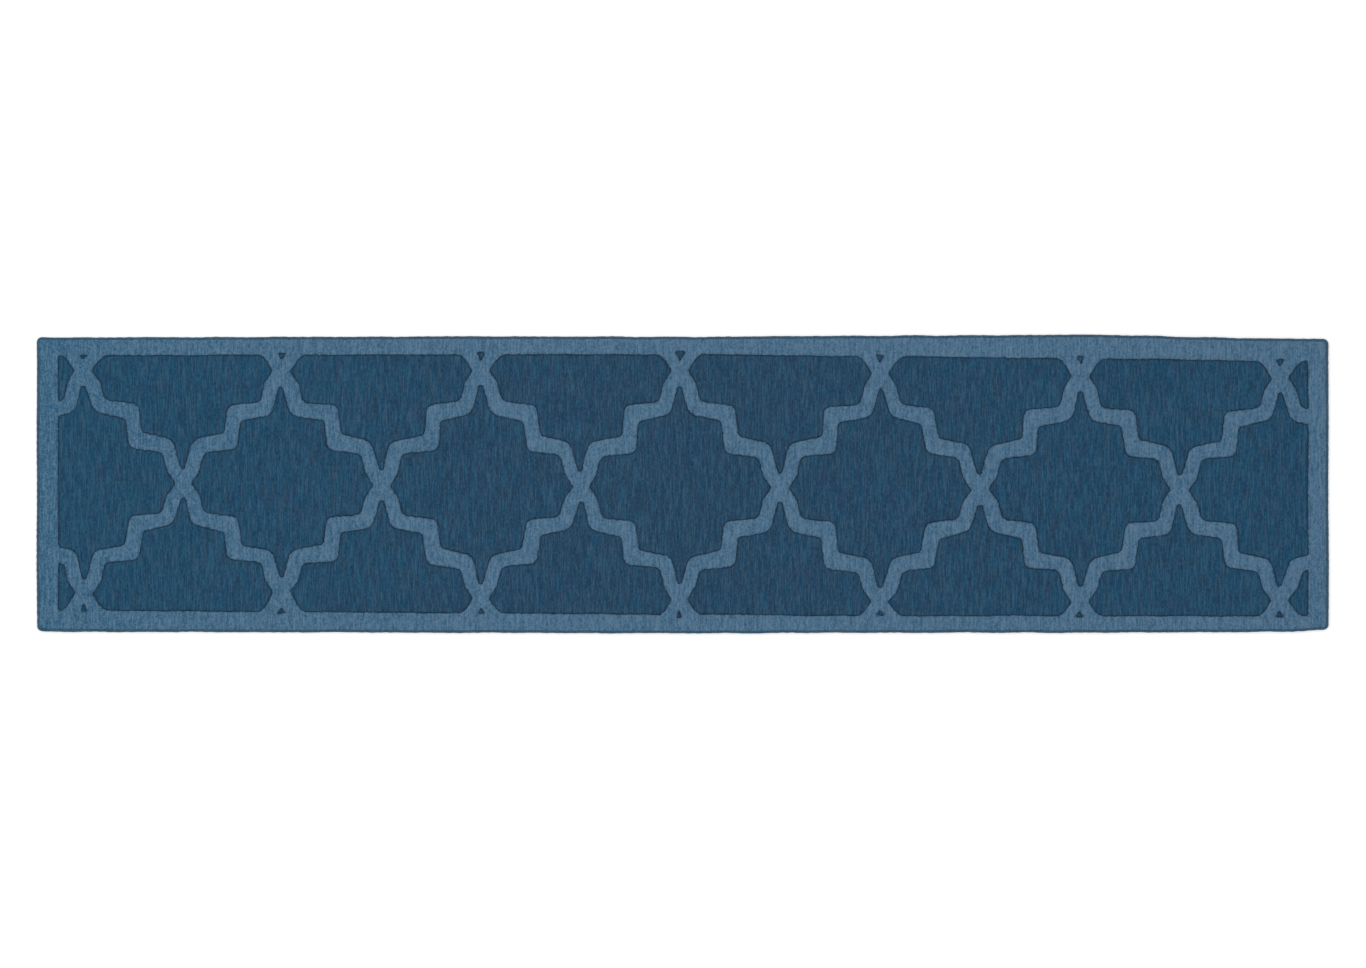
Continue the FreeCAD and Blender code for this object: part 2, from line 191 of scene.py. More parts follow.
def makeTufts():
    # rows of round tufts, every other row set half a tuft along, each tuft with a shade of its own
    group, given, result = newGroup("tuftRows", {"Pitch": 0.0028, "Unevenness": 0.4}, ["Height", "ToneAndShade"])
    place = addNode(group, "ShaderNodeTexCoord").outputs["Object"]
    rate = maths(group, "DIVIDE", 1.0, given["Pitch"])
    counted = addNode(group, "ShaderNodeVectorMath", {0: place, 3: rate}, operation="SCALE").outputs[0]
    # soft noise slides the rows about, by up to driftReach tufts where Unevenness is 1
    drift = addNode(group, "ShaderNodeTexNoise",
                    {"Vector": counted, "Scale": noiseShape["driftScale"], "Detail": 2.0})
    reach = maths(group, "MULTIPLY", given["Unevenness"], noiseShape["driftReach"])
    slide = addNode(group, "ShaderNodeVectorMath", {0: drift.outputs["Color"], 3: reach},
                    operation="SCALE").outputs[0]
    moved = addNode(group, "ShaderNodeVectorMath", {0: counted, 1: slide}).outputs[0]
    parts = addNode(group, "ShaderNodeSeparateXYZ", {0: moved}).outputs
    row = maths(group, "FLOOR", parts["X"])
    run = maths(group, "ADD", parts["Y"], maths(group, "MULTIPLY", maths(group, "MODULO", row, 2.0), 0.5))
    across = maths(group, "SUBTRACT", maths(group, "FRACT", parts["X"]), 0.5)
    along = maths(group, "SUBTRACT", maths(group, "FRACT", run), 0.5)
    spread = maths(group, "ADD", maths(group, "MULTIPLY", across, across),
                   maths(group, "MULTIPLY", along, along))
    crowned = maths(group, "SQRT", rescale(group, spread, noiseShape["tuftEdge"], 0.0))
    own = addNode(group, "ShaderNodeCombineXYZ", {"X": row, "Y": maths(group, "FLOOR", run)}).outputs[0]
    shade = addNode(group, "ShaderNodeTexWhiteNoise", {"Vector": own}, noise_dimensions="3D").outputs["Value"]
    fibre = addNode(group, "ShaderNodeTexNoise",
                    {"Vector": counted, "Scale": noiseShape["fibreScale"], "Detail": 2.0})
    height = maths(group, "ADD", maths(group, "MULTIPLY", crowned, noiseShape["crownShare"]),
                   maths(group, "MULTIPLY", fibre.outputs["Fac"], noiseShape["fibreShare"]))
    # the tone is each tuft's own shade plus painted shade: lighter where a tuft stands high, darker in the
    # hollows between tufts
    tuftToneAndShade = maths(group, "ADD", maths(group, "MULTIPLY", shade, noiseShape["shadeShare"]),
                 rescale(group, height, noiseShape["heightLow"], noiseShape["heightHigh"],
                         0.0, noiseShape["paintedShadeShare"]))
    group.links.new(height, result.inputs["Height"])
    group.links.new(tuftToneAndShade, result.inputs["ToneAndShade"])
    return group


def makePaintedFurrowShade():
    # painted shade: the dark line of shadow in a furrow, painted from the distance kept on the mesh, uneven
    # along its run
    group, given, result = newGroup("paintedFurrowShade", {"Unevenness": 0.9}, ["Shade"])
    kept = addNode(group, "ShaderNodeAttribute", attribute_name="paintedFurrowShade").outputs["Fac"]
    place = addNode(group, "ShaderNodeTexCoord").outputs["Object"]
    noise = addNode(group, "ShaderNodeTexNoise",
                    {"Vector": place, "Scale": noiseShape["furrowScale"], "Detail": 3.0}).outputs["Fac"]
    faint = rescale(group, noise, noiseShape["furrowFull"], noiseShape["furrowFaint"])
    faded = maths(group, "MULTIPLY", faint, given["Unevenness"])
    shade = maths(group, "SUBTRACT", kept, maths(group, "MULTIPLY", kept, faded), clamp=True)
    group.links.new(shade, result.inputs["Shade"])
    return group


dyeStreaks, tuftRows, paintedFurrowShade = makeStreaks(), makeTufts(), makePaintedFurrowShade()


def useGroup(tree, group, **values):
    made = tree.nodes.new("ShaderNodeGroup")
    made.node_tree = group
    for key, value in values.items():
        made.inputs[key].default_value = value
    return made.outputs


# colour is the dye on the left of the rug and second the dye in its middle, pale and deep are the streaks
loopLook = {
    "colour": (0.0220, 0.1020, 0.1980, 1.0), "second": (0.0710, 0.1460, 0.2460, 1.0),
    "pale": (0.1250, 0.2300, 0.3300, 1.0), "deep": (0.0220, 0.0850, 0.1500, 1.0),
    # painted shade: the colour and strength of the shadow painted into the furrows
    "paintedShadowColour": (0.0200, 0.0560, 0.0950, 1.0), "furrowDepth": 0.75,
    # width along the rug, length across it, and how much of it shows
    "patch": (0.0040, 0.0070, 0.44), "fine": (0.0036, 0.030, 0.64), "broad": (0.012, 0.30, 0.25),
    "tint": (0.008, 0.016, 0.50), "pitch": 0.0032, "unevenness": 0.25, "toneAndShadeShare": 0.60,
    "bump": 0.0008, "strength": 0.7, "roughness": 0.92, "specular": 0.1, "sheen": 0.08, "sheenRoughness": 0.5,
}
fieldLook = loopLook | {
    "colour": (0.0055, 0.0640, 0.1370, 1.0), "second": (0.0180, 0.0430, 0.0900, 1.0),
    "pale": (0.0400, 0.1100, 0.1800, 1.0), "deep": (0.0020, 0.0360, 0.0800, 1.0),
    # painted shade: the shadow painted into the field's furrows, darker still
    "paintedShadowColour": (0.0050, 0.0250, 0.0500, 1.0), "furrowDepth": 0.70,
    "patch": (0.0036, 0.0090, 0.46), "fine": (0.0030, 0.035, 0.80), "broad": (0.008, 0.12, 0.35),
    "tint": (0.009, 0.050, 0.90), "pitch": 0.0018, "unevenness": 0.9, "toneAndShadeShare": 0.45,
    "bump": 0.0005, "strength": 0.6, "roughness": 0.88, "sheen": 0.10,
}
edgeLook = dict(loopLook, colour=(0.032, 0.084, 0.140, 1.0), second=(0.042, 0.088, 0.138, 1.0),
                pale=(0.085, 0.150, 0.210, 1.0), deep=(0.013, 0.044, 0.080, 1.0), fine=(0.0024, 0.0024, 0.4),
                broad=(0.05, 0.05, 0.3), pitch=0.0016, bump=0.0002, furrowDepth=0.0)
cordLook = dict(edgeLook, colour=(0.55, 0.50, 0.41, 1.0), second=(0.52, 0.47, 0.38, 1.0),
                pale=(0.62, 0.57, 0.48, 1.0), deep=(0.42, 0.37, 0.29, 1.0), pitch=0.0009)
groundLook = dict(cordLook, colour=(0.60, 0.56, 0.48, 1.0), second=(0.57, 0.53, 0.45, 1.0),
                  pale=(0.68, 0.64, 0.56, 1.0), deep=(0.46, 0.42, 0.35, 1.0), pitch=0.0018, unevenness=0.15)
latexLook = dict(groundLook, colour=(0.62, 0.60, 0.55, 1.0), second=(0.60, 0.57, 0.51, 1.0),
                 pale=(0.66, 0.64, 0.60, 1.0), deep=(0.54, 0.51, 0.45, 1.0), pitch=0.006, unevenness=1.2,
                 roughness=0.55, sheen=0.0)
backingLook = dict(groundLook, colour=(0.52, 0.47, 0.38, 1.0), second=(0.49, 0.44, 0.35, 1.0),
                   pale=(0.62, 0.57, 0.48, 1.0), deep=(0.38, 0.33, 0.26, 1.0), pitch=0.0032, toneAndShadeShare=0.6,
                   bump=0.0004)


def yarnMaterial(name, look):
    material = bpy.data.materials.new(name)
    material.use_nodes = True
    tree = material.node_tree
    shader = tree.nodes["Principled BSDF"]
    streaks = {key: useGroup(tree, dyeStreaks, Width=look[key][0], Length=look[key][1])["Streak"]
               for key in ("patch", "fine", "broad", "tint")}
    tufts = useGroup(tree, tuftRows, Pitch=look["pitch"], Unevenness=look["unevenness"])
    dye = addNode(tree, "ShaderNodeAttribute", attribute_name="dyeDrift").outputs["Fac"]
    turned = rescale(tree, streaks["tint"], 0.0, 1.0, -look["tint"][2], look["tint"][2])
    colour = mixColour(tree, maths(tree, "ADD", dye, turned, clamp=True), look["colour"], look["second"])
    layers = [(streaks[key], look[key][2]) for key in ("broad", "fine", "patch")]
    for streak, share in layers + [(tufts["ToneAndShade"], look["toneAndShadeShare"])]:
        lighter = rescale(tree, streak, 0.5, 1.0, 0.0, share)
        darker = rescale(tree, streak, 0.5, 0.0, 0.0, share)
        colour = mixColour(tree, lighter, colour, look["pale"])
        colour = mixColour(tree, darker, colour, look["deep"])
    # painted shade: the pile colour is darkened towards the painted shadow colour along its furrows
    if look["furrowDepth"]:
        shade = useGroup(tree, paintedFurrowShade)["Shade"]
        shaded = maths(tree, "MULTIPLY", shade, look["furrowDepth"])
        colour = mixColour(tree, shaded, colour, look["paintedShadowColour"])
    tree.links.new(colour, shader.inputs["Base Color"])
    shader.inputs["Roughness"].default_value = look["roughness"]
    shader.inputs["Specular IOR Level"].default_value = look["specular"]
    shader.inputs["Sheen Weight"].default_value = look["sheen"]
    shader.inputs["Sheen Roughness"].default_value = look["sheenRoughness"]
    relief = addNode(tree, "ShaderNodeBump", {"Height": tufts["Height"], "Strength": look["strength"],
                                              "Distance": look["bump"]})
    tree.links.new(relief.outputs["Normal"], shader.inputs["Normal"])
    return material


finishes = {
    "loop_pile": yarnMaterial("loopPileYarn", loopLook),
    "field_pile": yarnMaterial("fieldPileYarn", fieldLook),
    "edge_yarn": yarnMaterial("edgeWrapYarn", edgeLook),
    "cord": yarnMaterial("cottonCord", cordLook),
    "ground_cloth": yarnMaterial("groundCotton", groundLook),
    "latex": yarnMaterial("latexFilm", latexLook),
    "backing": yarnMaterial("backingCanvas", backingLook),
}
print(f"materials: {len(finishes)}")


# the hand-made pattern: how far it wanders from a true repeat


def softStep(share):
    share = np.clip(share, 0.0, 1.0)
    return share * share * (3.0 - 2.0 * share)


def ripples(x, y, length, seed):
    # soft random waves, mostly from -1 to 1, about length from crest to crest
    pick = np.random.default_rng(seed)
    total = np.zeros_like(x)
    for turn in pick.uniform(0.0, 2.0 * math.pi, 6):
        rate = 2.0 * math.pi / (length * pick.uniform(0.7, 1.6))
        total += np.sin((x * math.cos(turn) + y * math.sin(turn)) * rate + pick.uniform(0.0, 2.0 * math.pi))
    return total / 3.0


# in millimetres, at the left end, at each crossing from left to right, and at the right end
wander = {
    "backEdge": (-1, -1, 0, 1, 0, 3, 5, -4, -5),
    "backWindow": (-2, -2, 0, 1, 1, -4, -8, -14, -14),
    "backRow": (0, 2, -3, 0, -1, -6, -15, -18, -18),
    "middleRow": (6, 6, 2, -3, -6, -9, -11, -14, -15),
    "frontRow": (14, 14, 17, 2, 1, -7, -5, -3, -3),
    "frontWindow": (10, 10, 6, 4, 0, -3, -3, -3, -3),
    "frontEdge": (3, 2, 1, 0, -1, 0, 0, 2, 7),
    "slide": (4, 0, -4, -4, -7, -5, -3, -3, 1),
    # how far the dye turns from its first colour to its second, in hundredths
    "loopDye": (0, 30, 60, 90, 100, 100, 95, 90, 85),
    "fieldDye": (0, 15, 40, 75, 100, 80, 45, 35, 30),
}
# how large in millimetres, how long in metres and which seed
waves = {
    "longUp": (0.7, 0.11, 3), "shortUp": (0.35, 0.016, 5),
    "longAlong": (0.8, 0.13, 4), "shortAlong": (0.35, 0.016, 6),
}
repeatStops = [k * repeat for k in range(-crossings, crossings + 1)]


def alongRun(x, amounts):
    stops = np.array([-pileX] + repeatStops + [pileX])
    place = np.clip(np.searchsorted(stops, x) - 1, 0, len(stops) - 2)
    share = softStep((x - stops[place]) / (stops[place + 1] - stops[place]))
    amounts = np.array(amounts)
    return amounts[place] + (amounts[place + 1] - amounts[place]) * share


def wave(x, y, name):
    size, length, seed = waves[name]
    return size * mm * ripples(x, y, length, seed)


def wanderedPlace(x, y):
    rows = (-pileY, -windowY, -rowPitch, 0.0, rowPitch, windowY, pileY)
    names = ("frontEdge", "frontWindow", "frontRow", "middleRow", "backRow", "backWindow", "backEdge")
    drifts = [alongRun(x, wander[name]) * mm for name in names]
    moved = np.where(y < rows[0], drifts[0], drifts[-1])
    for k in range(len(rows) - 1):
        share = (y - rows[k]) / (rows[k + 1] - rows[k])
        between = drifts[k] + (drifts[k + 1] - drifts[k]) * softStep(share)
        moved = np.where((y >= rows[k]) & (y <= rows[k + 1]), between, moved)
    # the two ends stay square, so the sideways slide fades out towards them
    fade = softStep((rugX - np.abs(x)) / (rugX - windowX))
    moved = moved + wave(x, y, "longUp") + wave(x, y, "shortUp")
    slid = fade * alongRun(x, wander["slide"]) * mm + wave(x, y, "longAlong")
    return x + slid + wave(x, y, "shortAlong"), y + moved


def topRim(node):
    # the outline of a part's flat top, as pairs of points
    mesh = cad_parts[node].data
    mesh.calc_loop_triangles()
    points = np.empty(len(mesh.vertices) * 3, np.float32)
    mesh.vertices.foreach_get("co", points)
    points = points.reshape(-1, 3).astype(float)
    corners = np.empty(len(mesh.loop_triangles) * 3, np.int32)
    mesh.loop_triangles.foreach_get("vertices", corners)
    corners = corners.reshape(-1, 3)
    corners = corners[(points[corners, 2] > points[:, 2].max() - 0.1 * mm).all(axis=1)]
    places, same = np.unique(np.round(points[:, :2], 6), axis=0, return_inverse=True)
    corners = same.reshape(-1)[corners]
    edges = np.concatenate([corners[:, (0, 1)], corners[:, (1, 2)], corners[:, (2, 0)]])
    there = edges[:, 0] * len(places) + edges[:, 1]
    back = edges[:, 1] * len(places) + edges[:, 0]
    return places[edges[~np.isin(there, back)]]


def distanceTable(rim, low, high, step, blur):
    # signed distance to a closed rim on a fine grid, negative inside, its corners softened by blur steps
    across = np.arange(low[0], high[0] + step, step)
    up = np.arange(low[1], high[1] + step, step)
    x, y = np.meshgrid(across, up, indexing="ij")
    nearest = np.full(x.shape, 1.0)
    inside = np.zeros(x.shape, bool)
    for (ax, ay), (bx, by) in rim:
        dx, dy = bx - ax, by - ay
        share = np.clip(((x - ax) * dx + (y - ay) * dy) / max(dx * dx + dy * dy, 1e-12), 0.0, 1.0)
        nearest = np.minimum(nearest, (x - ax - share * dx) ** 2 + (y - ay - share * dy) ** 2)
        if ax != bx:
            crossed = ((ax <= x) != (bx <= x)) & (ay + (x - ax) * dy / dx > y)
            inside ^= crossed
    table = np.where(inside, -np.sqrt(nearest), np.sqrt(nearest))
    for _ in range(blur):
        for axis in (0, 1):
            count = table.shape[axis]
            lower = np.take(table, [1, *range(count - 1)], axis)
            upper = np.take(table, [*range(1, count), count - 2], axis)
            table = (lower + 2.0 * table + upper) / 4.0
    return {"table": table, "low": low, "step": step}


def readTable(kept, x, y):
    table = kept["table"]
    across = np.clip((x - kept["low"][0]) / kept["step"], 0.0, table.shape[0] - 1.001)
    up = np.clip((y - kept["low"][1]) / kept["step"], 0.0, table.shape[1] - 1.001)
    i, j = across.astype(int), up.astype(int)
    s, t = across - i, up - j
    lower = table[i, j] * (1.0 - s) + table[i + 1, j] * s
    upper = table[i, j + 1] * (1.0 - s) + table[i + 1, j + 1] * s
    return lower * (1.0 - t) + upper * t


pattern = {
    "tableStep": 0.5 * mm, "cellBlur": 6, "eyeletBlur": 16,
    "sideRounding": 16 * mm, "endRounding": 6 * mm,
    "wobble": 2.2 * mm, "wobbleLength": 0.17, "wobbleSeeds": (11, 12),
    "nap": 0.6 * mm, "napLength": 0.010, "napSeed": 13, "napAtEnds": 0.5,
    # how much of the window's long edge follows the wobble, and how much stays straight
    "windowWobble": 0.3, "windowStraight": 0.7,
    "tableReach": 20 * mm, "eyeletReach": 60 * mm,
    # across and up, at each crossing from left to right
    "backEyelets": ((0.85, 0.5), (0.95, 0.95), (0.9, 1.2), (1.25, 1.3), (0.85, 1.0), (0.8, 1.0), (0.9, 1.0)),
    "frontEyelets": ((0.75, 1.1), (0.9, 0.75), (0.8, 0.9), (0.65, 1.0), (0.95, 0.8), (1.0, 0.9), (1.0, 0.85)),
}

cellRim = topRim("field_cell_4")
cellTable = distanceTable(cellRim, (0.0, 0.0), (repeat / 2, rugY + pattern["tableReach"]),
                          pattern["tableStep"], pattern["cellBlur"])
eyeletRim = topRim("eyelets_back")
eyeletRim = eyeletRim[np.abs(eyeletRim[:, 0, 0]) < repeat / 2]
eyeletMiddle = (eyeletRim[:, :, 1].min() + eyeletRim[:, :, 1].max()) / 2
eyeletRim = eyeletRim - (0.0, eyeletMiddle)
reach = pattern["eyeletReach"]
eyeletTable = distanceTable(eyeletRim, (-reach, -reach), (reach, reach),
                            pattern["tableStep"], pattern["eyeletBlur"])
print(f"pattern: {len(cellRim)} edges round a cell, {len(eyeletRim)} round an eyelet")


def roundedMeet(first, second, radius):
    both = np.hypot(np.maximum(first + radius, 0.0), np.maximum(second + radius, 0.0))
    return np.minimum(-radius, np.maximum(first, second)) + both


def patternDistance(x, y):
    # the distance to the edge of the loops, negative on the sheared field, and which opening is nearest:
    # 0 a cell of the middle row, 1 one of the outer rows, 2 an eyelet
    seedX, seedY = pattern["wobbleSeeds"]
    u = x + pattern["wobble"] * ripples(x, y, pattern["wobbleLength"], seedX)
    v = y + pattern["wobble"] * ripples(x, y, pattern["wobbleLength"], seedY)
    middle = readTable(cellTable, np.abs(u - repeat * np.round(u / repeat)), np.abs(v)) - furrow
    outerU = np.abs(u - repeat * (np.floor(u / repeat) + 0.5))
    outer = readTable(cellTable, outerU, np.abs(np.abs(v) - rowPitch)) - furrow
    nap = pattern["nap"] * ripples(x, y, pattern["napLength"], pattern["napSeed"])
    cells = np.minimum(middle, outer)
    drawnY = np.abs(v) * pattern["windowWobble"] + np.abs(y) * pattern["windowStraight"]
    cells = roundedMeet(cells, drawnY - windowY, pattern["sideRounding"])
    cells = roundedMeet(cells, np.abs(x) - windowX + pattern["napAtEnds"] * nap, pattern["endRounding"])
    index = np.clip(np.round(u / repeat), -crossings, crossings).astype(int) + crossings
    sizes = np.where((y > 0)[..., None], np.array(pattern["backEyelets"])[index],
                     np.array(pattern["frontEyelets"])[index])
    away = np.abs(v) - eyeletMiddle
    eyelet = readTable(eyeletTable, (u - repeat * np.round(u / repeat)) / sizes[..., 0], away / sizes[..., 1])
    eyelet = (eyelet - furrow) * sizes.min(axis=-1)
    distance = np.minimum(cells, eyelet) + nap
    owner = np.where(eyelet < cells, 2, np.where(middle < outer, 0, 1))
    return distance, owner


# one grid over the pile, with lines on the borders' edges and on every repeat

pile = {
    "step": 2.0 * mm, "nudge": 0.2 * mm, "leastSlope": 0.3, "drawnWithin": 0.5,
    "furrowDepth": 0.5, "furrowRise": 0.18, "fieldRounding": 3.2 * mm, "loopRounding": 5.5 * mm,
    "rimRounding": 9.0 * mm, "rimHeight": 0.55, "cornerRounding": 6.4 * mm,
    "fieldGrain": 0.16 * mm, "loopGrain": 0.14 * mm, "fieldRibs": 0.16 * mm, "loopRibs": 0.2 * mm,
    # how far the painted furrow shade reaches into the field and into the loops
    "fieldPaintedShade": 4.2 * mm, "loopPaintedShade": 1.4 * mm, "swell": 0.35 * mm,
    # how far the waves are drawn out across the rug, their length in metres and their seed
    "fieldWaves": ((0.06, 0.012, 22), (0.1, 0.006, 23)), "loopWave": (0.5, 0.009, 24),
    "swellWave": (1, 0.35, 25), "furrowWave": (1, 0.04, 26), "grainSeed": 21,
}


def gridLines(stops, step):
    lines = []
    for start, end in zip(stops[:-1], stops[1:]):
        count = max(1, round((end - start) / step))
        lines.extend(np.linspace(start, end, count, endpoint=False))
    return np.array(lines + [stops[-1]])


def roundCorners(x, y, halfX, halfY, radius):
    a = np.clip((np.abs(x) - (halfX - radius)) / radius, 0.0, 1.0)
    b = np.clip((np.abs(y) - (halfY - radius)) / radius, 0.0, 1.0)
    corner = (a > 0.0) & (b > 0.0)
    roundX = np.sign(x) * (halfX - radius + radius * a * np.sqrt(1.0 - b * b / 2.0))
    roundY = np.sign(y) * (halfY - radius + radius * b * np.sqrt(1.0 - a * a / 2.0))
    return np.where(corner, roundX, x), np.where(corner, roundY, y)


def crown(share):
    # a quarter round: nothing at the edge, one from there on
    share = 1.0 - np.clip(share, 0.0, 1.0)
    return np.sqrt(1.0 - share * share)


linesX = gridLines([-pileX, -windowX] + repeatStops + [windowX, pileX], pile["step"])
linesY = gridLines([-pileY, -windowY, 0.0, windowY, pileY], pile["step"])
gridX, gridY = np.meshgrid(linesX, linesY, indexing="ij")
distance = patternDistance(gridX, gridY)[0]

# points close to the line between the piles are drawn onto it
nudge = pile["nudge"]
slopeX = (patternDistance(gridX + nudge, gridY)[0] - patternDistance(gridX - nudge, gridY)[0]) / (2 * nudge)
slopeY = (patternDistance(gridX, gridY + nudge)[0] - patternDistance(gridX, gridY - nudge)[0]) / (2 * nudge)
steep = np.maximum(np.hypot(slopeX, slopeY), pile["leastSlope"])
near = np.abs(distance) / steep < pile["drawnWithin"] * pile["step"]
for one, other in ((np.s_[:-1, :], np.s_[1:, :]), (np.s_[:, :-1], np.s_[:, 1:])):
    # where an edge still crosses the line, its closer end goes too
    crossing = (distance[one] * distance[other] < 0.0) & ~near[one] & ~near[other]
    closer = np.abs(distance[one]) <= np.abs(distance[other])
    near[one] |= crossing & closer
    near[other] |= crossing & ~closer
near[[0, -1], :] = False
near[:, [0, -1]] = False
flatX = np.where(near, gridX - distance * slopeX / steep ** 2, gridX)
flatY = np.where(near, gridY - distance * slopeY / steep ** 2, gridY)
distance = np.where(near, 0.0, distance)


def gridWave(drawnOut, length, seed):
    return ripples(gridX, gridY * drawnOut, length, seed)


# pile heights
grain = np.random.default_rng(pile["grainSeed"]).uniform(-1.0, 1.0, gridX.shape)
furrowShare = pile["furrowDepth"] + pile["furrowRise"] * gridWave(*pile["furrowWave"])
furrowZ = groundTop + furrowShare * (fieldTop - groundTop)
rimZ = groundTop + pile["rimHeight"] * (loopTop - groundTop)
inset = np.minimum(pileX - np.abs(gridX), pileY - np.abs(gridY))
fieldRibs = gridWave(*pile["fieldWaves"][0]) + gridWave(*pile["fieldWaves"][1])
fieldZ = fieldTop + pile["fieldRibs"] * fieldRibs + pile["fieldGrain"] * grain
loopZ = loopTop + pile["loopRibs"] * gridWave(*pile["loopWave"]) + pile["loopGrain"] * grain
fieldZ = furrowZ + (fieldZ - furrowZ) * crown(-distance / pile["fieldRounding"])
loopZ = furrowZ + (loopZ - furrowZ) * crown(distance / pile["loopRounding"])
loopZ = np.minimum(loopZ, rimZ + (loopZ - rimZ) * crown(inset / pile["rimRounding"]))
pileZ = np.where(distance < 0.0, fieldZ, loopZ)
fromFurrow = crown(np.abs(distance) / pile["loopRounding"])
pileZ = pileZ + pile["swell"] * gridWave(*pile["swellWave"]) * fromFurrow
# painted shade: full in each furrow and fading out into the field and the loops, kept on the mesh for the
# materials
paintedPileShade = np.where(distance < 0.0, 1.0 - softStep(-distance / pile["fieldPaintedShade"]),
                     1.0 - softStep(distance / pile["loopPaintedShade"]))

pileDye = alongRun(gridX, wander["loopDye"])
pileDye = np.where(distance < 0.0, alongRun(gridX, wander["fieldDye"]), pileDye) / 100.0

roundX, roundY = roundCorners(flatX, flatY, pileX, pileY, pile["cornerRounding"])
placeX, placeY = wanderedPlace(roundX, roundY)
pilePoints = np.stack([placeX, placeY, pileZ], axis=-1).reshape(-1, 3)
print(f"pile grid: {gridX.shape[0]} by {gridX.shape[1]} points, {int(near.sum())} drawn onto the furrows")


# closed pieces


def addMesh(name, points, quads, tris=(), sharpAngle=60.0):
    quads = np.asarray(quads, np.int32).reshape(-1, 4)
    tris = np.asarray(tris, np.int32).reshape(-1, 3)
    mesh = bpy.data.meshes.new(name)
    mesh.vertices.add(len(points))
    mesh.vertices.foreach_set("co", np.asarray(points, np.float32).ravel())
    mesh.loops.add(quads.size + tris.size)
    mesh.loops.foreach_set("vertex_index", np.concatenate([quads.ravel(), tris.ravel()]))
    mesh.polygons.add(len(quads) + len(tris))
    starts = np.concatenate([np.arange(len(quads)) * 4, quads.size + np.arange(len(tris)) * 3])
    mesh.polygons.foreach_set("loop_start", starts.astype(np.int32))
    mesh.update(calc_edges=True)
    mesh.shade_smooth()
    mesh.set_sharp_from_angle(angle=math.radians(sharpAngle))
    piece = bpy.data.objects.new(name, mesh)
    bpy.context.scene.collection.objects.link(piece)
    return piece


def finishPiece(piece, slotName, *nodes):
    piece.data.materials.append(finishes[slotName])
    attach(piece, "root")
    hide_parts(*nodes)
    return piece


def closedPiece(name, points, quads, tris, floorZ, kept=None):
    # the top faces, the same faces turned over at floorZ, and walls round every open edge
    used, packed = np.unique(np.concatenate([quads.ravel(), tris.ravel()]), return_inverse=True)
    count = len(used)
    quads, tris = packed[:quads.size].reshape(-1, 4), packed[quads.size:].reshape(-1, 3)
    top = points[used]
    base = top.copy()
    base[:, 2] = floorZ
    loops = [quads[:, (k, (k + 1) % 4)] for k in range(4)] + [tris[:, (k, (k + 1) % 3)] for k in range(3)]
    edges = np.concatenate(loops).astype(np.int64)
    there, back = edges[:, 0] * count + edges[:, 1], edges[:, 1] * count + edges[:, 0]
    rim = edges[~np.isin(there, back)]
    walls = np.stack([rim[:, 1], rim[:, 0], rim[:, 0] + count, rim[:, 1] + count], axis=1)
    allQuads = np.concatenate([quads, quads[:, ::-1] + count, walls])
    allTris = np.concatenate([tris, tris[:, ::-1] + count])
    piece = addMesh(name, np.concatenate([top, base]), allQuads, allTris)
    for label, values in (kept or {}).items():
        attribute = piece.data.attributes.new(label, "FLOAT", "POINT")
        attribute.data.foreach_set("value", np.tile(values.reshape(-1)[used], 2).astype(np.float32))
    return piece


def gridFaces(columns, rows):
    first = (np.arange(columns - 1)[:, None] * rows + np.arange(rows - 1)[None, :]).reshape(-1)
    return np.stack([first, first + rows, first + rows + 1, first + 1], axis=1)


# the grid's faces, each given to the piece that holds it

quads = gridFaces(*gridX.shape)
flat = distance.reshape(-1)
signs = np.sign(flat[quads]).astype(int)
splitFirst = (signs[:, 0] == 0) & (signs[:, 2] == 0) & (signs[:, 1] * signs[:, 3] < 0)
splitOther = (signs[:, 1] == 0) & (signs[:, 3] == 0) & (signs[:, 0] * signs[:, 2] < 0)
tris = np.concatenate([
    quads[splitFirst][:, (0, 1, 2)], quads[splitFirst][:, (0, 2, 3)],
    quads[splitOther][:, (1, 2, 3)], quads[splitOther][:, (0, 1, 3)],
])
quads = quads[~(splitFirst | splitOther)]


pileParts = [(f"border_{side}_loops", f"border_{side}") for side in ("back", "front", "left", "right")]
modules = ["end_left"] + [str(k + 1) for k in range(moduleCount)] + ["end_right"]
pileParts += [(f"trellis_{k}_loops", f"trellis_{k}") for k in modules]
pileParts += [(f"field_cell_{k + 1}_pile", f"field_cell_{k + 1}") for k in range(moduleCount + 1)]
for side in ("back", "front"):
    halves = [f"field_half_{side}_{k + 1}" for k in range(moduleCount)]
    halves = [f"field_corner_{side}_left"] + halves + [f"field_corner_{side}_right"]
    pileParts += [(f"{node}_pile", node) for node in halves]
pileParts += [(f"eyelets_{side}_pile", f"eyelets_{side}") for side in ("back", "front")]
numberOf = {node: number for number, (_, node) in enumerate(pileParts)}


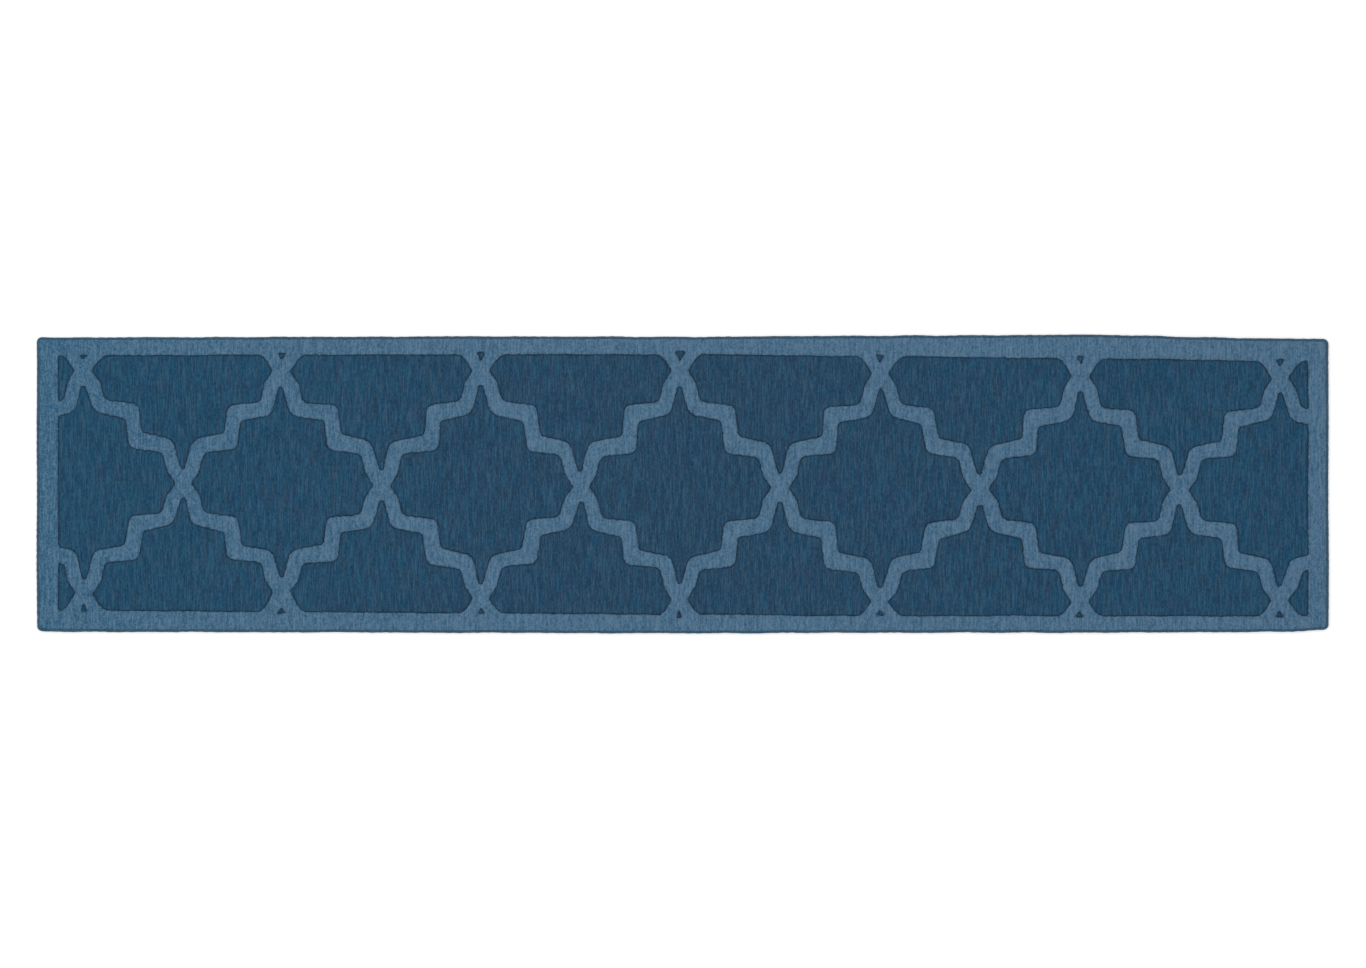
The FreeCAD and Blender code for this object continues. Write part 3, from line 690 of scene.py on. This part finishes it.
def pieceOf(faces):
    # the number of the pile part that holds each face
    middleX = flatX.reshape(-1)[faces].mean(axis=1)
    middleY = flatY.reshape(-1)[faces].mean(axis=1)
    total = flat[faces].sum(axis=1)
    there, kind = patternDistance(middleX, middleY)
    sunk = np.where(total == 0.0, there < 0.0, total < 0.0)
    # modules and half cells count from the left end piece, cells from the first crossing
    module = np.clip(np.floor(middleX / repeat).astype(int) + crossings, -1, moduleCount) + 1
    cell = np.clip(np.round(middleX / repeat).astype(int) + crossings, 0, moduleCount)

    def bySide(condition, first, second):
        return np.where(condition, numberOf[first], numberOf[second])

    back = middleY > 0.0
    ends = bySide(middleX < 0.0, "border_left", "border_right")
    light = np.where(np.abs(middleX) > windowX, ends, numberOf["trellis_end_left"] + module)
    light = np.where(np.abs(middleY) > windowY, bySide(back, "border_back", "border_front"), light)
    half = bySide(back, "field_corner_back_left", "field_corner_front_left") + module
    dark = np.where(kind == 0, numberOf["field_cell_1"] + cell, half)
    dark = np.where(kind == 2, bySide(back, "eyelets_back", "eyelets_front"), dark)
    return np.where(sunk, dark, light)


quadPiece, triPiece = pieceOf(quads), pieceOf(tris)
for number, (name, node) in enumerate(pileParts):
    made = closedPiece(name, pilePoints, quads[quadPiece == number], tris[triPiece == number], groundTop,
                       {"paintedFurrowShade": paintedPileShade, "dyeDrift": pileDye})
    finishPiece(made, "loop_pile" if name.endswith("loops") else "field_pile", node)
print(f"pile: {len(pileParts)} pieces, {len(quads)} squares and {len(tris)} triangles on top")


# cloth layers under the pile

cloth = {
    "step": 9 * mm, "cornerRounding": 7 * mm,
    "ripple": 0.05 * mm, "rippleLength": 0.05, "rippleSeed": 31,
}


def clothPiece(name, node, slotName):
    low, high = boxOf(node)
    outerX, outerY = max(abs(low[0]), abs(high[0])), max(abs(low[1]), abs(high[1]))
    across, up = (gridLines([low[k], high[k]], cloth["step"]) for k in (0, 1))
    x, y = np.meshgrid(across, up, indexing="ij")
    if outerX > pileX - mm and outerY > pileY - mm:
        x, y = roundCorners(x, y, outerX, outerY, cloth["cornerRounding"])
    rippled = np.abs(ripples(x, y, cloth["rippleLength"], cloth["rippleSeed"]))
    z = np.full(x.shape, high[2]) - cloth["ripple"] * rippled
    points = np.stack([*wanderedPlace(x, y), z], axis=-1).reshape(-1, 3)
    made = closedPiece(name, points, gridFaces(*x.shape), np.empty((0, 3), int), low[2])
    return finishPiece(made, slotName, node)


groundCloth = clothPiece("ground_weave_cloth", "ground_weave", "ground_cloth")
backingCloth = clothPiece("backing_cloth_canvas", "backing_cloth", "backing")
clothPiece("latex_coat_film", "latex_coat", "latex")
hems = [clothPiece(f"hem_{side}_fold", f"hem_{side}", "ground_cloth")
        for side in ("back", "front", "left", "right")]
print("cloth: ground weave, latex, hems and backing")


# wrapped edge: yarn wound round a cord, in four runs

wrapped = {
    "cornerRounding": 12 * mm, "straightHalf": float(boxOf("edge_binding_back")[1][0]),
    "pitch": 3.4 * mm, "samples": 6, "slant": 0.9, "sectionMiddle": (2.6, 4.0),
    "bulge": 0.42 * mm, "bulgeMean": 0.8, "bulgeUneven": 0.25, "bulgeLength": 0.02, "bulgeSeed": 41,
    # across from the outer edge, and up, in millimetres, anticlockwise from the inner foot
    "section": ((5.6, 0.0), (3.9, 0.0), (2.2, 0.05), (0.7, 0.7), (0.05, 2.2), (0.0, 4.0), (0.1, 5.6),
                (0.75, 7.1), (2.1, 7.8), (3.8, 7.9), (5.6, 7.3), (5.6, 3.4), (4.1, 3.4), (4.1, 0.8),
                (5.6, 0.8)),
    "puffed": (0, 0, 0.2, 0.7, 1, 1, 1, 1, 1, 0.8, 0, 0, 0, 0, 0),
    "boreAcross": 2.25 * mm, "boreUp": 2.1 * mm, "boreRadius": 1.35 * mm, "boreSkip": 6, "boreSides": 12,
    "strands": 3, "strandRadius": 0.58 * mm, "strandTwist": 9 * mm, "strandSides": 7, "strandStep": 1.6 * mm,
}


def runPath(turnsCorners, step):
    # points on the rug's outer edge and the way out from each, along the back or round the right end
    radius, straight = wrapped["cornerRounding"], wrapped["straightHalf"]
    if not turnsCorners:
        count = round(2 * straight / step)
        x = np.linspace(straight, -straight, count + 1)
        return np.stack([x, np.full_like(x, rugY)], 1), np.tile((0.0, 1.0), (count + 1, 1))
    cornerX, cornerY = rugX - radius, rugY - radius
    arc = np.linspace(0.0, math.pi / 2, max(4, round(radius * math.pi / 2 / step)) + 1)
    side = np.linspace(-cornerY, cornerY, round(2 * cornerY / step) + 1)[1:-1]
    end = np.linspace(straight, cornerX, max(2, round((cornerX - straight) / step)) + 1)[:-1]
    level, full = np.zeros(len(end)), np.ones(len(end))
    outX = np.concatenate([level, np.sin(arc), np.ones(len(side)), np.cos(arc), level])
    outY = np.concatenate([-full, -np.cos(arc), np.zeros(len(side)), np.sin(arc), full])
    x = np.concatenate([end, cornerX + radius * np.sin(arc), np.full(len(side), rugX),
                        cornerX + radius * np.cos(arc), end[::-1]])
    y = np.concatenate([np.full(len(end), -rugY), -cornerY - radius * np.cos(arc), side,
                        cornerY + radius * np.sin(arc), np.full(len(end), rugY)])
    return np.stack([x, y], 1), np.stack([outX, outY], 1)


def lengthAlong(places):
    return np.concatenate([[0.0], np.cumsum(np.hypot(*np.diff(places, axis=0).T))])[:, None]


def swept(places, outward, across, up, turned):
    # across and up are arrays of one row per place and one column per point of the section
    x = places[:, :1] - outward[:, :1] * across
    y = places[:, 1:] - outward[:, 1:] * across
    x, y = wanderedPlace(x * turned, y * turned)
    return np.stack([x, y, up], axis=-1)


def tubeFaces(rings, sides, first=0):
    ring = np.arange(rings - 1)[:, None] * sides + first
    k = np.arange(sides)[None, :]
    following = (k + 1) % sides
    faces = np.stack([ring + k, ring + following, ring + sides + following, ring + sides + k], -1)
    return faces.reshape(-1, 4)


def capFaces(outline, hole, outlineStart, holeStart, turnOver):
    # triangles across one cut end, between the outer loop and the bore
    loops = [[Vector((a, b, 0.0)) for a, b in outline], [Vector((a, b, 0.0)) for a, b in hole]]
    numbers = [outlineStart + k for k in range(len(outline))] + [holeStart + k for k in range(len(hole))]
    flatPoints = np.concatenate([outline, hole])
    faces = []
    for a, b, c in tessellate_polygon(loops):
        pa, pb, pc = flatPoints[a], flatPoints[b], flatPoints[c]
        area = (pb[0] - pa[0]) * (pc[1] - pa[1]) - (pb[1] - pa[1]) * (pc[0] - pa[0])
        if (area > 0.0) == turnOver:
            b, c = c, b
        faces.append((numbers[a], numbers[b], numbers[c]))
    return faces


def bindingPiece(name, node, turnsCorners, turned):
    places, outward = runPath(turnsCorners, wrapped["pitch"] / wrapped["samples"])
    rings, sides = len(places), len(wrapped["section"])
    run = lengthAlong(places)
    section = np.array(wrapped["section"]) * mm
    middle = np.array(wrapped["sectionMiddle"]) * mm
    away = (section - middle) / np.hypot(*(section - middle).T)[:, None]
    phase = run / wrapped["pitch"] + wrapped["slant"] * np.arange(sides)[None, :] / sides
    drift = ripples(run, run * 0.0, wrapped["bulgeLength"], wrapped["bulgeSeed"])
    uneven = 1.0 + wrapped["bulgeUneven"] * drift
    rounded = np.abs(np.sin(math.pi * phase)) - wrapped["bulgeMean"]
    puff = wrapped["bulge"] * np.array(wrapped["puffed"]) * rounded * uneven
    across = section[:, 0] + away[:, 0] * puff
    up = np.maximum(section[:, 1] + away[:, 1] * puff, 0.0)
    outer = swept(places, outward, across, up, turned).reshape(-1, 3)

    kept = np.unique(np.concatenate([np.arange(0, rings, wrapped["boreSkip"]), [rings - 1]]))
    turn = np.linspace(0.0, 2.0 * math.pi, wrapped["boreSides"], endpoint=False)
    bore = np.stack([wrapped["boreAcross"] + wrapped["boreRadius"] * np.cos(turn),
                     wrapped["boreUp"] + wrapped["boreRadius"] * np.sin(turn)], 1)
    boreAcross, boreUp = np.tile(bore[:, 0], (len(kept), 1)), np.tile(bore[:, 1], (len(kept), 1))
    inner = swept(places[kept], outward[kept], boreAcross, boreUp, turned).reshape(-1, 3)

    # the section runs clockwise and its bore anticlockwise, so turned over they both look out of the yarn
    faces = np.concatenate([tubeFaces(rings, sides), tubeFaces(len(kept), len(bore), len(outer))])[:, ::-1]
    lastRing, lastBore = (rings - 1) * sides, len(outer) + (len(kept) - 1) * len(bore)
    caps = capFaces(section, bore, 0, len(outer), True) + capFaces(section, bore, lastRing, lastBore, False)
    made = addMesh(name, np.concatenate([outer, inner]), faces, caps, sharpAngle=70.0)
    return finishPiece(made, "edge_yarn", node)


def strandsPiece(name, node, turnsCorners, turned):
    places, outward = runPath(turnsCorners, wrapped["strandStep"])
    rings, sides = len(places), wrapped["strandSides"]
    run = lengthAlong(places)
    turn = np.linspace(0.0, 2.0 * math.pi, sides, endpoint=False)[None, :]
    points, faces, caps = [], [], []
    for strand in range(wrapped["strands"]):
        lay = 2.0 * math.pi * (run / wrapped["strandTwist"] + strand / wrapped["strands"])
        radius = wrapped["strandRadius"]
        across = wrapped["boreAcross"] + radius * (np.cos(lay) + np.cos(turn))
        up = wrapped["boreUp"] + radius * (np.sin(lay) + np.sin(turn))
        first = strand * rings * sides
        points.append(swept(places, outward, across, up, turned).reshape(-1, 3))
        faces.append(tubeFaces(rings, sides, first))
        last = first + (rings - 1) * sides
        for k in range(1, sides - 1):
            caps.append((first, first + k + 1, first + k))
            caps.append((last, last + k, last + k + 1))
    made = addMesh(name, np.concatenate(points), np.concatenate(faces), caps)
    return finishPiece(made, "cord", node)


# the side, whether its run turns the corners, and 1 or -1 for the run turned half round
edgeRuns = (("back", False, 1), ("front", False, -1), ("right", True, 1), ("left", True, -1))
for side, turnsCorners, turned in edgeRuns:
    bindingPiece(f"edge_binding_{side}_wraps", f"edge_binding_{side}", turnsCorners, turned)
    strandsPiece(f"edge_cord_{side}_plies", f"edge_cord_{side}", turnsCorners, turned)
print("edge: four wrapped runs and their cords")
